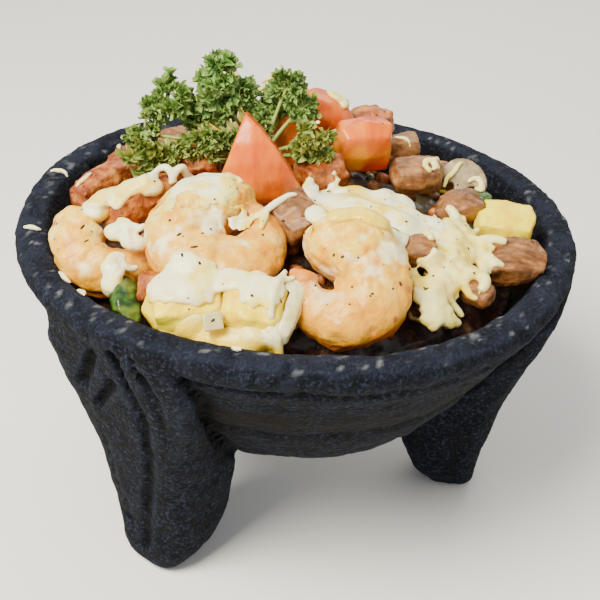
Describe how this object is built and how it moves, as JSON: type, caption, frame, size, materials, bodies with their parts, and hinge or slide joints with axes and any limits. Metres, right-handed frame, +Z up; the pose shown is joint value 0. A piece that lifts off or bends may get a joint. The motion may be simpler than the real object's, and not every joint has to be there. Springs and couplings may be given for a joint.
{
  "type": "molcajete mixed grill",
  "caption": "Three-legged carved volcanic-stone mortar heaped with grilled meat, prawns, squash and melted cheese, topped with tomato wedges and curly parsley.",
  "frame": {"origin": "on the table under the centre of the rim, midway across the outside of the bowl", "axes": "+Z up, from the feet to the rim; the side that shows the front of the dish faces -Y; one leg points close to +X and one to the front left"},
  "size_m": [0.2337, 0.234, 0.1987],
  "materials": {
    "stone": "rough porous volcanic stone, matt",
    "beef": "grilled beef, browned and moist",
    "chicken": "seasoned grilled chicken, reddish brown crust",
    "prawn": "cooked prawn flesh, pale with seared edges, moist",
    "squash": "soft cooked yellow squash",
    "pepper": "roasted green pepper strip",
    "mushroom": "sliced cooked mushroom",
    "onion": "soft translucent onion",
    "cheese": "melted white cheese",
    "tomato": "fresh tomato wedge, wet cut face",
    "parsley": "fresh curly parsley leaf",
    "filling": "mixed filling under the larger pieces, sauce and meat bits"
  },
  "bodies": {
    "root": {"beef_back_left": "beef", "beef_back_middle": "beef", "beef_back_right": "beef", "beef_centre": "beef", "beef_centre_strip": "beef", "beef_far_right": "beef", "beef_middle": "beef", "beef_ridge": "beef", "beef_right": "beef", "beef_right_small": "beef", "beef_upper": "beef", "beef_upper_right": "beef", "cheese_back": "cheese", "cheese_middle": "cheese", "cheese_right": "cheese", "chicken_back": "chicken", "chicken_back_left": "chicken", "chicken_cross": "chicken", "chicken_left": "chicken", "chicken_low": "chicken", "chicken_ridge": "chicken", "chicken_top": "chicken", "chicken_upper": "chicken", "chicken_upper_left": "chicken", "filling": "filling", "molcajete": "stone", "mushroom_back": "mushroom", "mushroom_right": "mushroom", "onion_front": "onion", "parsley_sprig": "parsley", "pepper_back": "pepper", "pepper_left": "pepper", "pepper_right": "pepper", "prawn_back": "prawn", "prawn_front": "prawn", "prawn_left": "prawn", "prawn_middle": "prawn", "squash_back": "squash", "squash_back_right": "squash", "squash_front": "squash", "squash_front_right": "squash", "squash_right": "squash", "tomato_back": "tomato", "tomato_front": "tomato", "tomato_right": "tomato", "tomato_under_parsley": "tomato"}
  },
  "joints": []
}
